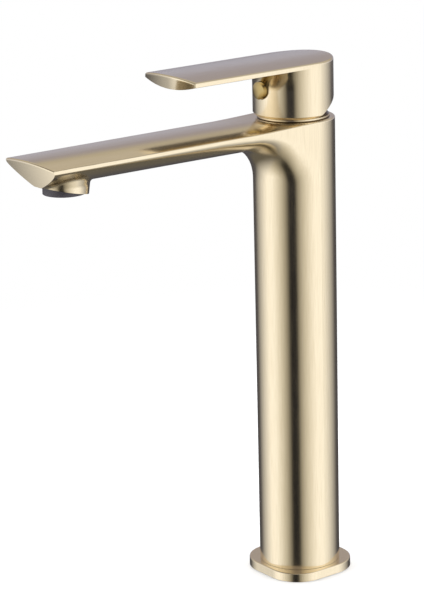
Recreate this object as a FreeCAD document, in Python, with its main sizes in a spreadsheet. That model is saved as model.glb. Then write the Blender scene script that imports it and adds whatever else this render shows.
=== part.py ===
import FreeCAD, Part
import math
import os
import Sketcher

# Single lever basin mixer: tall round column, flat level spout, paddle lever on a ceramic disc cartridge.
# The spout casting stands on a column tube, and the inlet block is held between the two.
# Frame: +Z up, origin on the column axis at the deck, spout and lever pointing to -Y. Millimetres.

doc = FreeCAD.newDocument("BasinMixer")
sheet = doc.addObject("Spreadsheet::Sheet", "Sizes")

DRIVING = {
    # base plate and its seal
    "plate_half": 25.5,
    "plate_corner": 18.0,
    "plate_thick": 4.9,
    "plate_edge": 0.6,
    "plate_hole": 17.0,
    "gasket_outer": 23.4,
    "gasket_inner": 20.4,
    "gasket_thick": 1.5,
    # column and its foot
    "column_radius": 22.5,
    "column_gap": 0.1,
    "column_bore": 19.0,
    "top_level": 259.2,
    "foot_height": 14.0,
    "stud_radius": 4.0,
    "stud_offset": 10.8,
    "hose_room": 0.5,
    # valve chamber
    "chamber_radius": 17.7,
    "chamber_depth": 30.2,
    "block_radius": 20.0,
    "block_thick": 15.0,
    "thread_radius": 18.6,
    "port_spread": 7.5,
    "port_shift": 4.0,
    "port_radius": 3.2,
    "inlet_radius": 5.0,
    "inlet_depth": 10.0,
    # spout
    "spout_reach": 170.9,
    "spout_tip_half": 21.9,
    "spout_depth_root": 10.6,
    "spout_depth_tip": 11.3,
    "spout_edge": 1.8,
    "spout_crown": 1.1,
    "spout_crown_tip": 1.3,
    "spout_rise": 0.6,
    "crown_flat": 0.02,
    "crown_steps": 12,
    "neck_steps": 5,
    "spout_flank_root": 0.6,
    "spout_flank_tip": 0.15,
    "neck_radius": 15.0,
    "tip_slant": 20.0,
    "rim_fillet": 0.9,
    "water_radius": 3.25,
    "water_drop": 7.2,
    # nozzle and aerator
    "nozzle_setback": 20.8,
    "nozzle_radius": 12.4,
    "nozzle_flare": 2.2,
    "nozzle_drop": 16.8,
    "nozzle_tilt": 13.0,
    "nozzle_fillet": 2.6,
    "aerator_radius": 11.2,
    "aerator_proud": 1.6,
    "aerator_height": 10.0,
    "aerator_wall": 1.5,
    "washer_thick": 2.0,
    "washer_inner": 7.6,
    "screen_thick": 0.8,
    "insert_height": 6.4,
    "insert_recess": 1.2,
    "jet_radius": 0.9,
    "jet_circle": 6.2,
    "jet_count": 12,
    # cartridge
    "base_height": 5.0,
    "base_radius": 17.4,
    "seal_inner": 4.0,
    "seal_outer": 5.6,
    "seal_thick": 1.5,
    "outlet_shift": 8.0,
    "outlet_radius": 4.0,
    "disc_thick": 4.0,
    "fixed_disc_radius": 15.5,
    "moving_disc_radius": 12.4,
    "disc_offset": 2.6,
    "disc_film": 0.03,
    "mixing_long": 13.0,
    "mixing_wide": 8.0,
    "mixing_deep": 2.0,
    "carrier_thick": 5.5,
    "shell_radius": 16.9,
    "shell_bore": 15.9,
    "shell_roof": 2.4,
    "shell_neck": 13.0,
    "shell_rise": 18.37,
    "rotor_radius": 10.95,
    "rotor_flange": 14.4,
    "rotor_flange_thick": 0.9,
    "rotor_sink": 0.5,
    "slot_front": 9.4,
    "slot_rear": 5.6,
    # lever stem and its pin
    "pivot_sink": 6.0,
    "pin_radius": 1.5,
    "stem_half": 3.5,
    "stem_depth": 3.0,
    "stem_square": 8.0,
    "shoulder_gap": 2.5,
    "stem_play": 1.0,
    "ball_radius": 3.2,
    "ball_sink": 1.63,
    "tail_gap": 0.8,
    # nut and collar
    "nut_bore": 13.3,
    "nut_hex": 28.4,
    "nut_hex_height": 3.0,
    "collar_radius": 19.6,
    "collar_inner": 17.0,
    "collar_seat": 0.6,
    "collar_straight": 1.6,
    "collar_height": 3.3,
    "collar_top": 18.3,
    "collar_groove": 0.3,
    # lever
    "hub_radius": 21.95,
    "hub_gap": 1.7,
    "hub_bore": 19.5,
    "hub_chamfer": 1.2,
    "hub_chamfer_rise": 1.4,
    "hub_height": 31.1,
    "lever_reach": 83.0,
    "lever_edge": 2.4,
    "lever_belly": 3.2,
    "lever_crown": 1.3,
    "lever_roof": 5.4,
    "lever_bow": 1.2,
    "lever_fillet": 1.2,
    "hub_cut_slope": 30.0,
    "boss_radius": 8.6,
    "boss_gap": 6.0,
    "web_half": 6.5,
    "socket_depth": 12.0,
    "button_radius": 5.0,
    "button_rise": 4.0,
    "button_depth": 5.4,
    "button_dome": 0.9,
    "button_proud": 2.0,
    "grub_radius": 2.5,
    "grub_length": 7.0,
    "grub_key": 2.5,
    "grub_key_deep": 2.6,
    # named clearances
    "running_gap": 0.05,
    "fit_gap": 0.1,
    "loose_gap": 0.3,
}

# Levels and places that follow from the sizes: the cartridge stack, the spout end and the lever.
DERIVED = {
    "tube_low": "plate_thick + column_gap",
    "foot_high": "tube_low + foot_height",
    "hose_slot_long": "2 * (port_spread + inlet_radius + hose_room)",
    "hose_slot_wide": "2 * (inlet_radius + hose_room)",
    "chamber_floor": "top_level - chamber_depth",
    "tube_high": "chamber_floor - block_thick",
    "nozzle_reach": "spout_reach - nozzle_setback",
    "nozzle_level": "top_level - nozzle_drop",
    "aerator_level": "nozzle_level - aerator_proud",
    "rotor_low": "chamber_floor + base_height + 2 * disc_thick + disc_film + carrier_thick + fit_gap",
    "nut_low": "rotor_low + rotor_flange_thick + fit_gap + shell_roof",
    "nut_high": "top_level - collar_seat - loose_gap",
    "thread_low": "nut_low - loose_gap",
    "shell_top": "rotor_low + shell_rise",
    "pivot_level": "shell_top - pivot_sink",
    "ball_level": "rotor_low - ball_sink",
    "tail_low": "rotor_low + tail_gap",
    "stem_shoulder": "shell_top + shoulder_gap",
    "boss_level": "shell_top + boss_gap",
    "stem_top": "boss_level + socket_depth - stem_play",
    "button_level": "boss_level + button_rise",
    "cap_radius": "button_radius - loose_gap",
    "dome_curve": "(cap_radius ^ 2 + button_dome ^ 2) / (2 * button_dome)",
    "hub_level": "top_level + hub_gap",
    "lever_level": "hub_level + hub_height",
    "blade_low": "lever_level - lever_crown - lever_edge",
    "belly_curve": "(hub_radius ^ 2 + lever_belly ^ 2) / (2 * lever_belly)",
    "crown_curve": "(hub_radius ^ 2 + lever_crown ^ 2) / (2 * lever_crown)",
    "bow_curve": "(hub_radius ^ 2 + lever_bow ^ 2) / (2 * lever_bow)",
    "tool_half": "hub_radius + lever_edge",
}

for row, (alias, size) in enumerate(DRIVING.items(), start=1):
    cell = "A%d" % row
    sheet.set(cell, str(size))
    sheet.setAlias(cell, alias)
doc.recompute()


def bound(expression):
    """Expression text with derived heights written out and every sheet alias as Sizes.alias."""
    words = []
    word = ""
    for letter in expression + " ":
        if letter.isalnum() or letter == "_":
            word += letter
            continue
        if word in DERIVED:
            word = "(" + bound(DERIVED[word]) + ")"
        elif word in DRIVING:
            word = "Sizes." + word
        words.append(word + letter)
        word = ""
    return "".join(words).strip()


def amount(expression):
    """Number that an expression of sheet aliases comes to."""
    probe = sheet.evalExpression(bound(expression).replace("Sizes.", ""))
    return float(probe)


def value(alias):
    return amount(alias)


def bind(item, prop, expression):
    item.setExpression(prop, bound(expression))


def new_body(label):
    body = doc.addObject("PartDesign::Body", label)
    body.Label = label
    return body


def origin_plane(body, role):
    return [item for item in body.Origin.OriginFeatures if item.Role == role][0]


def new_sketch(body, name, role, offset=None):
    """Sketch on an origin plane of its own body, moved along the plane's normal by an expression."""
    sketch = body.newObject("Sketcher::SketchObject", name)
    sketch.AttachmentSupport = [(origin_plane(body, role), "")]
    sketch.MapMode = "FlatFace"
    if offset:
        bind(sketch, "AttachmentOffset.Base.z", offset)
    doc.recompute()
    return sketch


def pin_point(sketch, edge, end, across, along):
    """Place one end of a sketch edge by two bound distances from the sketch origin."""
    for kind, expression in (("DistanceX", across), ("DistanceY", along)):
        rule = Sketcher.Constraint(kind, -1, 1, edge, end, amount(expression))
        number = sketch.addConstraint(rule)
        bind(sketch, "Constraints[%d]" % number, expression)


def draw_outline(sketch, corners):
    """Closed outline of straight edges through corners given as pairs of expressions."""
    spots = [FreeCAD.Vector(amount(across), amount(along), 0) for across, along in corners]
    first = sketch.GeometryCount
    count = len(spots)
    for step in range(count):
        sketch.addGeometry(Part.LineSegment(spots[step], spots[(step + 1) % count]), False)
    for step in range(count):
        following = first + (step + 1) % count
        sketch.addConstraint(Sketcher.Constraint("Coincident", first + step, 2, following, 1))
    for step, (across, along) in enumerate(corners):
        pin_point(sketch, first + step, 1, across, along)


def draw_arc(sketch, start, end, middle, radius):
    """Arc running anticlockwise between two pinned spots, through a middle spot, with a bound radius."""
    spots = [FreeCAD.Vector(amount(across), amount(along), 0) for across, along in (start, middle, end)]
    edge = sketch.addGeometry(Part.Arc(*spots), False)
    pin_point(sketch, edge, 1, *start)
    pin_point(sketch, edge, 2, *end)
    number = sketch.addConstraint(Sketcher.Constraint("Radius", edge, amount(radius)))
    bind(sketch, "Constraints[%d]" % number, radius)


def draw_path(sketch, corners):
    """Open run of straight edges through pinned corners."""
    for start, end in zip(corners[:-1], corners[1:]):
        spots = [FreeCAD.Vector(amount(across), amount(along), 0) for across, along in (start, end)]
        edge = sketch.addGeometry(Part.LineSegment(*spots), False)
        pin_point(sketch, edge, 1, *start)
        pin_point(sketch, edge, 2, *end)


def draw_circle(sketch, radius, across="0", along="0"):
    centre = FreeCAD.Vector(amount(across), amount(along), 0)
    edge = sketch.addGeometry(Part.Circle(centre, FreeCAD.Vector(0, 0, 1), amount(radius)), False)
    pin_point(sketch, edge, 3, across, along)
    number = sketch.addConstraint(Sketcher.Constraint("Radius", edge, amount(radius)))
    bind(sketch, "Constraints[%d]" % number, radius)


def draw_box(sketch, half_wide, low, high):
    draw_outline(sketch, [("-(%s)" % half_wide, low), (half_wide, low),
                          (half_wide, high), ("-(%s)" % half_wide, high)])


def turned(label, outline, role="XZ_Plane"):
    """Body of revolution about the upright sketch axis."""
    body = new_body(label)
    sketch = new_sketch(body, label + "_profile", role)
    draw_outline(sketch, outline)
    feature = body.newObject("PartDesign::Revolution", label + "_turn")
    feature.Profile = sketch
    feature.ReferenceAxis = (sketch, ["V_Axis"])
    feature.Angle = 360
    doc.recompute()
    return body


def ring(label, inner, outer, low, high):
    return turned(label, [(inner, low), (outer, low), (outer, high), (inner, high)])


def pad(body, name, sketch, length, reverse=False, both=False):
    feature = body.newObject("PartDesign::Pad", name)
    feature.Profile = sketch
    feature.Reversed = reverse
    feature.Midplane = both
    bind(feature, "Length", length)
    doc.recompute()
    return feature


def pocket(body, name, sketch, length, reverse=False, both=False):
    """Cut a sketch out of a body; a cut that takes nothing away is an error."""
    before = body.Shape.Volume
    feature = body.newObject("PartDesign::Pocket", name)
    feature.Profile = sketch
    feature.Reversed = reverse
    feature.Midplane = both
    bind(feature, "Length", length)
    doc.recompute()
    if body.Shape.Volume >= before:
        raise ValueError(name + " cuts nothing")
    return feature


def edge_names(shape, wanted):
    return ["Edge%d" % number for number, edge in enumerate(shape.Edges, start=1) if wanted(edge)]


def part_cylinder(name, radius, height, base):
    item = doc.addObject("Part::Cylinder", name)
    bind(item, "Radius", radius)
    bind(item, "Height", height)
    place(item, base)
    return item


def place(item, base):
    for letter, expression in zip("xyz", base):
        bind(item, "Placement.Base." + letter, expression)


def cut(label, base, tools):
    joined = doc.addObject("Part::MultiFuse", label + "_tools")
    joined.Shapes = tools
    result = doc.addObject("Part::Cut", label)
    result.Base = base
    result.Tool = joined
    result.Label = label
    doc.recompute()
    return result


def point(across, along, up):
    return FreeCAD.Vector(across, along, up)


# Body casting: column, neck sweep and spout, one skin of conic sections.


def conic_section(half, depth, weight, place_at, rise):
    """Closed section: conic belly of a half width and depth under a block that goes up by rise."""
    edges = []
    for side in (-1, 1):
        poles = [place_at(side * half, 0), place_at(side * half, -depth), place_at(0, -depth)]
        curve = Part.BezierCurve()
        curve.setPoles(poles if side < 0 else poles[::-1])
        curve.setWeight(2, weight)
        edges.append(curve.toShape())
    top = [place_at(half, 0), place_at(half, rise), place_at(-half, rise), place_at(-half, 0)]
    for start, end in zip(top[:-1], top[1:]):
        edges.append(Part.LineSegment(start, end).toShape())
    return Part.Wire(edges)


def casting_skin():
    radius = value("column_radius")
    level = value("top_level")
    neck = value("neck_radius")
    depth_root = value("spout_depth_root")
    depth_tip = value("spout_depth_tip")
    flank_root = value("spout_flank_root")
    flank_tip = value("spout_flank_tip")
    edge_level = level - value("spout_crown") - value("spout_edge")
    round_weight = math.sqrt(0.5)
    over = value("column_radius")
    axis_y = -(radius + neck)
    axis_z = edge_level - depth_root - neck
    foot = amount("tube_high")
    tip_y = -(value("spout_reach") + over)

    def neck_section(turn):
        blend = 0.5 - 0.5 * math.cos(2 * turn)
        depth = radius + (depth_root - radius) * blend
        weight = round_weight + (flank_root - round_weight) * blend
        lever = neck + depth

        def place_at(across, away):
            reach = lever + away
            return point(across, axis_y + reach * math.cos(turn), axis_z + reach * math.sin(turn))
        return conic_section(radius, depth, weight, place_at, neck + 2 * over)

    steps = int(value("neck_steps"))
    quarter = math.pi / 2
    turns = [quarter * step / steps for step in range(steps + 1)]
    sweep = Part.makeLoft([neck_section(turn) for turn in turns], True, False)
    keep = Part.makeBox(2 * over + radius, -axis_y, edge_level - axis_z,
                        point(-over - radius / 2, axis_y, axis_z))
    sweep = sweep.common(keep)

    def spout_section(along, half, depth, flank, lift):
        def place_at(across, away):
            return point(across, along, edge_level + lift + away)
        return conic_section(half, depth, flank, place_at, level + over - edge_level)

    reach_y = -value("spout_reach")
    share = (tip_y - axis_y) / (reach_y - axis_y)
    tip_half = value("spout_tip_half")
    far_half = radius + (tip_half - radius) * share
    far_depth = depth_root + (depth_tip - depth_root) * share
    lift = value("spout_rise") + value("spout_crown") - value("spout_crown_tip")
    blade = Part.makeLoft([spout_section(axis_y, radius, depth_root, flank_root, 0),
                           spout_section(reach_y, tip_half, depth_tip, flank_tip, lift),
                           spout_section(tip_y, far_half, far_depth, flank_tip, lift * share)], True, True)
    root_slab = Part.makeBox(2 * radius, -axis_y, level + over - edge_level,
                             point(-radius, axis_y, edge_level))
    column = Part.makeCylinder(radius, level + over - foot, point(0, 0, foot))
    half_space = Part.makeBox(4 * radius, 2 * radius, 2 * level, point(-2 * radius, 0, 0))
    rear = column.common(half_space)
    front = Part.makeCylinder(radius, axis_z - foot, point(0, 0, foot)).cut(half_space)
    nozzle_base = value("nozzle_level") - value("nozzle_radius") * math.tan(
        math.radians(value("nozzle_tilt")))
    nozzle = Part.makeCone(value("nozzle_radius"), value("nozzle_radius") + value("nozzle_flare"),
                           edge_level - nozzle_base, point(0, -value("nozzle_reach"), nozzle_base))
    nozzle.rotate(point(0, -value("nozzle_reach"), 0), point(0, 0, 1), 90)
    body = rear.fuse([front, sweep, blade, root_slab, nozzle]).removeSplitter()
    return soften_rim(trim_top(trim_tip(soften_nozzle(body, nozzle))))


def soften_nozzle(body, nozzle):
    """Round the hollow corner between the nozzle and the underside of the spout."""
    cone = max(nozzle.Faces, key=lambda face: face.Area)
    wall = [face for face in body.Faces if face.Surface.TypeId == cone.Surface.TypeId]
    low = min(edge.BoundBox.ZMin for edge in wall[0].Edges)
    corner = [edge for edge in wall[0].Edges if edge.BoundBox.ZMin > low + value("nozzle_flare")
              and edge.BoundBox.ZMax - edge.BoundBox.ZMin < value("spout_depth_tip")]
    return body.makeFillet(value("nozzle_fillet"), corner)


def trim_tip(body):
    """Cut the tip to its slanted facet and the nozzle to its tilted mouth."""
    level = value("top_level")
    wide = 4 * value("spout_tip_half")
    reach = value("spout_reach")
    lean = math.tan(math.radians(value("tip_slant")))
    low = value("chamber_floor")
    corners = [point(-wide / 2, -reach - lean * 2, level + 2),
               point(-wide / 2, -reach + lean * (level - low), low),
               point(-wide / 2, -2 * reach, low),
               point(-wide / 2, -2 * reach, level + 2)]
    facet = Part.Face(Part.makePolygon(corners + corners[:1])).extrude(point(wide, 0, 0))
    mouth = Part.makeBox(wide, wide, wide, point(-wide / 2, -wide / 2, -wide))
    mouth.rotate(point(0, 0, 0), point(1, 0, 0), -value("nozzle_tilt"))
    mouth.translate(point(0, -value("nozzle_reach"), value("nozzle_level")))
    return body.cut([facet, mouth])


def trim_top(body):
    """Cut the crowned top: flat over the column, arched across the spout."""
    radius = value("column_radius")
    level = value("top_level")
    crown = value("spout_crown")
    flat = value("crown_flat")
    neck_end = radius + value("neck_radius")
    reach = value("spout_reach")
    high = level + 3 * radius
    span = 2 * radius

    def arch(along):
        ramp = min(max(-along / neck_end, 0.0), 1.0)
        run = max((-along - neck_end) / (reach - neck_end), 0.0)
        bow = crown + (value("spout_crown_tip") - crown) * run
        bow = max(bow * ramp * ramp * (3 - 2 * ramp), flat)
        half = radius + (value("spout_tip_half") - radius) * run
        drop = bow * (span / half) ** 2
        peak = level + value("spout_rise") * run
        ends = [point(-span, along, peak - drop), point(span, along, peak - drop)]
        arc = Part.Arc(ends[0], point(0, along, peak), ends[1]).toShape()
        path = [ends[1], point(span, along, high), point(-span, along, high), ends[0]]
        lines = [Part.LineSegment(a, b).toShape() for a, b in zip(path[:-1], path[1:])]
        return Part.Wire([arc] + lines)

    steps = int(value("crown_steps"))
    start = neck_end
    stride = (reach + start + radius) / steps
    tool = Part.makeLoft([arch(start - stride * step) for step in range(steps + 1)], True, False)
    return body.cut(tool)


def soften_rim(body):
    """Round the outline of the crowned top."""
    top = max(body.Faces, key=lambda face: face.CenterOfMass.z)
    return body.makeFillet(value("rim_fillet"), top.Edges)


def make_body_casting():
    skin = doc.addObject("Part::Feature", "casting_skin")
    skin.Shape = casting_skin().Solids[0]
    bore = "fit_gap + collar_height"
    tools = [
        part_cylinder("block_hollow", "block_radius + running_gap", "block_thick",
                      ("0", "0", "tube_high")),
        part_cylinder("chamber_hollow", "chamber_radius", "top_level - chamber_floor + " + bore,
                      ("0", "0", "chamber_floor")),
        part_cylinder("thread_hollow", "thread_radius", "top_level - thread_low + " + bore,
                      ("0", "0", "thread_low")),
        part_cylinder("collar_ledge", "collar_radius + fit_gap", "collar_seat + " + bore,
                      ("0", "0", "top_level - collar_seat")),
        part_cylinder("aerator_hollow", "aerator_radius", "aerator_height + washer_thick + nozzle_flare",
                      ("0", "-nozzle_reach", "aerator_level - nozzle_flare")),
        part_cylinder("washer_hollow", "washer_inner",
                      "top_level - water_drop + water_radius + loose_gap - aerator_level",
                      ("0", "-nozzle_reach", "aerator_level")),
    ]
    water = part_cylinder("waterway", "water_radius", "nozzle_reach - chamber_radius / 2",
                          ("0", "-chamber_radius / 2", "top_level - water_drop"))
    water.Placement.Rotation = FreeCAD.Rotation(point(1, 0, 0), 90)
    tools.append(water)
    return cut("body_casting", skin, tools)


def make_column():
    """Column tube, and the inlet block whose top is the floor of the valve chamber."""
    tube = ring("column_tube", "column_bore", "column_radius", "tube_low", "tube_high")
    block = solid_disc("inlet_block", "block_radius", "tube_high", "chamber_floor")
    inlets = new_sketch(block, "inlet_outline", "XY_Plane", "tube_high")
    ports = new_sketch(block, "port_outline", "XY_Plane", "tube_high")
    for across in ("port_spread", "-port_spread"):
        draw_circle(inlets, "inlet_radius", across, "-port_shift")
        draw_circle(ports, "port_radius", across, "-port_shift")
    pocket(block, "inlets", inlets, "inlet_depth", reverse=True)
    pocket(block, "ports", ports, "block_thick", reverse=True)
    return [tube, block]


def make_base_plate():
    body = new_body("base_plate")
    sketch = new_sketch(body, "plate_outline", "XY_Plane")
    draw_outline(sketch, [("-plate_half", "-plate_half"), ("plate_half", "-plate_half"),
                          ("plate_half", "plate_half"), ("-plate_half", "plate_half")])
    draw_circle(sketch, "plate_hole")
    slab = pad(body, "plate_slab", sketch, "plate_thick")
    half = value("plate_half")

    def from_axis(edge):
        return math.hypot(edge.CenterOfMass.x, edge.CenterOfMass.y)

    corners = edge_names(slab.Shape, lambda edge: from_axis(edge) > half + value("plate_edge"))
    rounded = body.newObject("PartDesign::Fillet", "plate_corners")
    rounded.Base = (slab, corners)
    bind(rounded, "Radius", "plate_corner")
    doc.recompute()
    rim = edge_names(rounded.Shape, lambda edge: edge.BoundBox.ZMin > value("gasket_thick")
                     and from_axis(edge) > value("plate_corner"))
    soft = body.newObject("PartDesign::Fillet", "plate_rim")
    soft.Base = (rounded, rim)
    bind(soft, "Radius", "plate_edge")
    doc.recompute()
    groove = new_sketch(body, "gasket_groove_outline", "XY_Plane")
    draw_circle(groove, "gasket_outer + fit_gap")
    draw_circle(groove, "gasket_inner - fit_gap")
    pocket(body, "gasket_groove", groove, "gasket_thick", reverse=True)
    return body


def make_foot_insert():
    body = turned("foot_insert", [
        ("0", "0"), ("plate_hole - fit_gap", "0"),
        ("plate_hole - fit_gap", "tube_low"), ("column_bore - running_gap", "tube_low"),
        ("column_bore - running_gap", "foot_high"), ("0", "foot_high")])
    stud = new_sketch(body, "stud_outline", "XY_Plane")
    draw_circle(stud, "stud_radius", "0", "stud_offset")
    pocket(body, "stud_hole", stud, "foot_high", reverse=True)
    slot = new_sketch(body, "hose_slot_outline", "XY_Plane")
    draw_box(slot, "hose_slot_long / 2", "-port_shift - hose_slot_wide / 2",
             "-port_shift + hose_slot_wide / 2")
    pocket(body, "hose_slot", slot, "foot_high", reverse=True)
    return body


def nozzle_axis(body):
    bind(body, "Placement.Base.y", "-nozzle_reach")
    return body


def make_aerator():
    seat = "aerator_level + aerator_height"
    housing = ring("aerator_housing", "aerator_radius - aerator_wall", "aerator_radius - running_gap",
                   "aerator_level", seat)
    washer = ring("aerator_washer", "washer_inner", "aerator_radius - fit_gap",
                  seat, seat + " + washer_thick")
    floor = "aerator_level + insert_recess"
    inside = "aerator_radius - aerator_wall - running_gap"
    top = floor + " + insert_height"
    insert = solid_disc("aerator_insert", inside, floor, top)
    jet = new_sketch(insert, "jet_outline", "XY_Plane", floor)
    draw_circle(jet, "jet_radius", "jet_circle", "0")
    bore = pocket(insert, "jet_bore", jet, "insert_height", reverse=True)
    pattern = insert.newObject("PartDesign::PolarPattern", "jet_pattern")
    pattern.Originals = [bore]
    pattern.Axis = (jet, ["N_Axis"])
    pattern.Angle = 360
    bind(pattern, "Occurrences", "jet_count")
    insert.Tip = pattern
    doc.recompute()
    screen = solid_disc("aerator_screen", inside, top, top + " + screen_thick")
    return [nozzle_axis(item) for item in (housing, washer, insert, screen)]


def bore_ports(body, depth, low):
    """Two inlet ports and the mixed water port through a disc or base."""
    ports = new_sketch(body, body.Label + "_ports", "XY_Plane", low)
    draw_circle(ports, "port_radius", "port_spread", "-port_shift")
    draw_circle(ports, "port_radius", "-port_spread", "-port_shift")
    draw_circle(ports, "outlet_radius", "0", "outlet_shift")
    pocket(body, body.Label + "_bores", ports, depth, reverse=True)


def solid_disc(label, radius, low, high):
    return turned(label, [("0", low), (radius, low), (radius, high), ("0", high)])


def make_cartridge_fixed():
    deck = "chamber_floor + base_height"
    base = solid_disc("cartridge_base", "base_radius", "chamber_floor", deck)
    bore_ports(base, "base_height", "chamber_floor")
    seats = new_sketch(base, "seal_seats", "XY_Plane", "chamber_floor")
    draw_circle(seats, "seal_outer + fit_gap", "port_spread", "-port_shift")
    draw_circle(seats, "seal_outer + fit_gap", "-port_spread", "-port_shift")
    pocket(base, "seal_recess", seats, "seal_thick", reverse=True)
    side = new_sketch(base, "outlet_slot", "XY_Plane", "chamber_floor")
    draw_box(side, "outlet_radius", "outlet_shift", "base_radius + fit_gap")
    pocket(base, "outlet_channel", side, "base_height / 2", reverse=True)
    seals = doc.addObject("Part::Compound", "port_seals")
    links = []
    for side_name, sign in (("cold", ""), ("hot", "-")):
        outer = part_cylinder(side_name + "_seal_outer", "seal_outer", "seal_thick",
                              (sign + "port_spread", "-port_shift", "chamber_floor"))
        inner = part_cylinder(side_name + "_seal_inner", "seal_inner", "seal_thick",
                              (sign + "port_spread", "-port_shift", "chamber_floor"))
        loop = doc.addObject("Part::Cut", side_name + "_seal")
        loop.Base = outer
        loop.Tool = inner
        links.append(loop)
    seals.Links = links
    seals.Label = "port_seals"
    disc = solid_disc("fixed_disc", "fixed_disc_radius", deck, deck + " + disc_thick")
    bore_ports(disc, "disc_thick", deck)
    roof = "rotor_low + rotor_flange_thick + fit_gap"
    shell = turned("cartridge_shell", [
        ("shell_bore", deck), ("shell_radius", deck), ("shell_radius", roof + " + shell_roof"),
        ("shell_neck", roof + " + shell_roof"), ("shell_neck", "shell_top"),
        ("rotor_radius + running_gap", "shell_top"), ("rotor_radius + running_gap", roof),
        ("shell_bore", roof)])
    return [base, seals, disc, shell]


def make_nut_and_collar():
    nut = ring("retaining_nut", "nut_bore", "thread_radius - fit_gap", "nut_low", "nut_high")
    hexagon = new_sketch(nut, "nut_hexagon", "XY_Plane", "nut_high")
    half = "nut_hex / 2"
    corner = "nut_hex / sqrt(3)"
    draw_outline(hexagon, [(corner, "0"), (corner + " / 2", half), ("-(" + corner + ") / 2", half),
                           ("-(" + corner + ")", "0"), ("-(" + corner + ") / 2", "-(" + half + ")"),
                           (corner + " / 2", "-(" + half + ")")])
    draw_circle(hexagon, "nut_bore")
    pad(nut, "nut_head", hexagon, "nut_hex_height")
    seat = "top_level - collar_seat"
    turn = seat + " + collar_straight"
    waist = "collar_radius - collar_groove"
    collar = turned("collar_ring", [
        ("collar_inner", seat), ("collar_radius", seat), ("collar_radius", turn),
        (waist, turn), (waist, turn + " + collar_groove"),
        ("collar_top", seat + " + collar_height"), ("collar_inner", seat + " + collar_height")])
    return [nut, collar]


def make_swivel():
    rotor = turned("swivel_rotor", [
        ("0", "rotor_low"), ("rotor_flange", "rotor_low"),
        ("rotor_flange", "rotor_low + rotor_flange_thick"),
        ("rotor_radius", "rotor_low + rotor_flange_thick"),
        ("rotor_radius", "shell_top - rotor_sink"), ("0", "shell_top - rotor_sink")])
    slot = new_sketch(rotor, "stem_slot", "XY_Plane", "rotor_low")
    draw_box(slot, "stem_half + fit_gap", "-slot_front", "slot_rear")
    pocket(rotor, "stem_opening", slot, "shell_top - rotor_low", reverse=True)
    cross = new_sketch(rotor, "pin_outline", "YZ_Plane")
    draw_circle(cross, "pin_radius + running_gap / 2", "0", "pivot_level")
    pocket(rotor, "pin_hole", cross, "2 * rotor_flange", both=True)
    pin = new_body("pivot_pin")
    round_end = new_sketch(pin, "pin_profile", "YZ_Plane")
    draw_circle(round_end, "pin_radius", "0", "pivot_level")
    pad(pin, "pin_length", round_end, "2 * (rotor_radius - loose_gap)", both=True)
    return [rotor, pin]


def make_sliding_disc():
    low = "chamber_floor + base_height + disc_thick + disc_film"
    disc = solid_disc("moving_disc", "moving_disc_radius", low, low + " + disc_thick")
    bind(disc, "Placement.Base.y", "disc_offset")
    mixing = new_sketch(disc, "mixing_outline", "XY_Plane", low)
    draw_box(mixing, "mixing_long / 2", "0", "mixing_wide")
    pocket(disc, "mixing_recess", mixing, "mixing_deep", reverse=True)
    high = low + " + disc_thick"
    carrier = solid_disc("disc_carrier", "moving_disc_radius", high, high + " + carrier_thick")
    bind(carrier, "Placement.Base.y", "disc_offset")
    socket = new_sketch(carrier, "ball_socket", "XY_Plane", "ball_level - ball_radius - loose_gap")
    draw_circle(socket, "ball_radius + loose_gap", "0", "-disc_offset")
    pocket(carrier, "ball_recess", socket, "carrier_thick * 2", reverse=True)
    return [disc, carrier]


def make_stem():
    body = new_body("lever_stem")
    tail = new_sketch(body, "stem_tail_outline", "XY_Plane", "tail_low")
    draw_box(tail, "stem_half", "-stem_depth", "stem_depth")
    pad(body, "stem_tail", tail, "stem_shoulder - tail_low")
    ball = new_sketch(body, "ball_outline", "XZ_Plane")
    low = ("0", "ball_level - ball_radius")
    high = ("0", "ball_level + ball_radius")
    side = ("ball_radius", "ball_level")
    draw_path(ball, [high, low])
    slant = "ball_radius * sin(45)"
    draw_arc(ball, low, side, (slant, "ball_level - " + slant), "ball_radius")
    draw_arc(ball, side, high, (slant, "ball_level + " + slant), "ball_radius")
    knob = body.newObject("PartDesign::Revolution", "stem_ball")
    knob.Profile = ball
    knob.ReferenceAxis = (ball, ["V_Axis"])
    knob.Angle = 360
    doc.recompute()
    square = new_sketch(body, "stem_square_outline", "XY_Plane", "stem_shoulder")
    draw_box(square, "stem_square / 2", "-stem_square / 2", "stem_square / 2")
    pad(body, "stem_head", square, "stem_top - stem_shoulder")
    cross = new_sketch(body, "stem_pin_outline", "YZ_Plane")
    draw_circle(cross, "pin_radius + running_gap", "0", "pivot_level")
    pocket(body, "stem_pin_hole", cross, "4 * stem_half", both=True)
    return body


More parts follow.
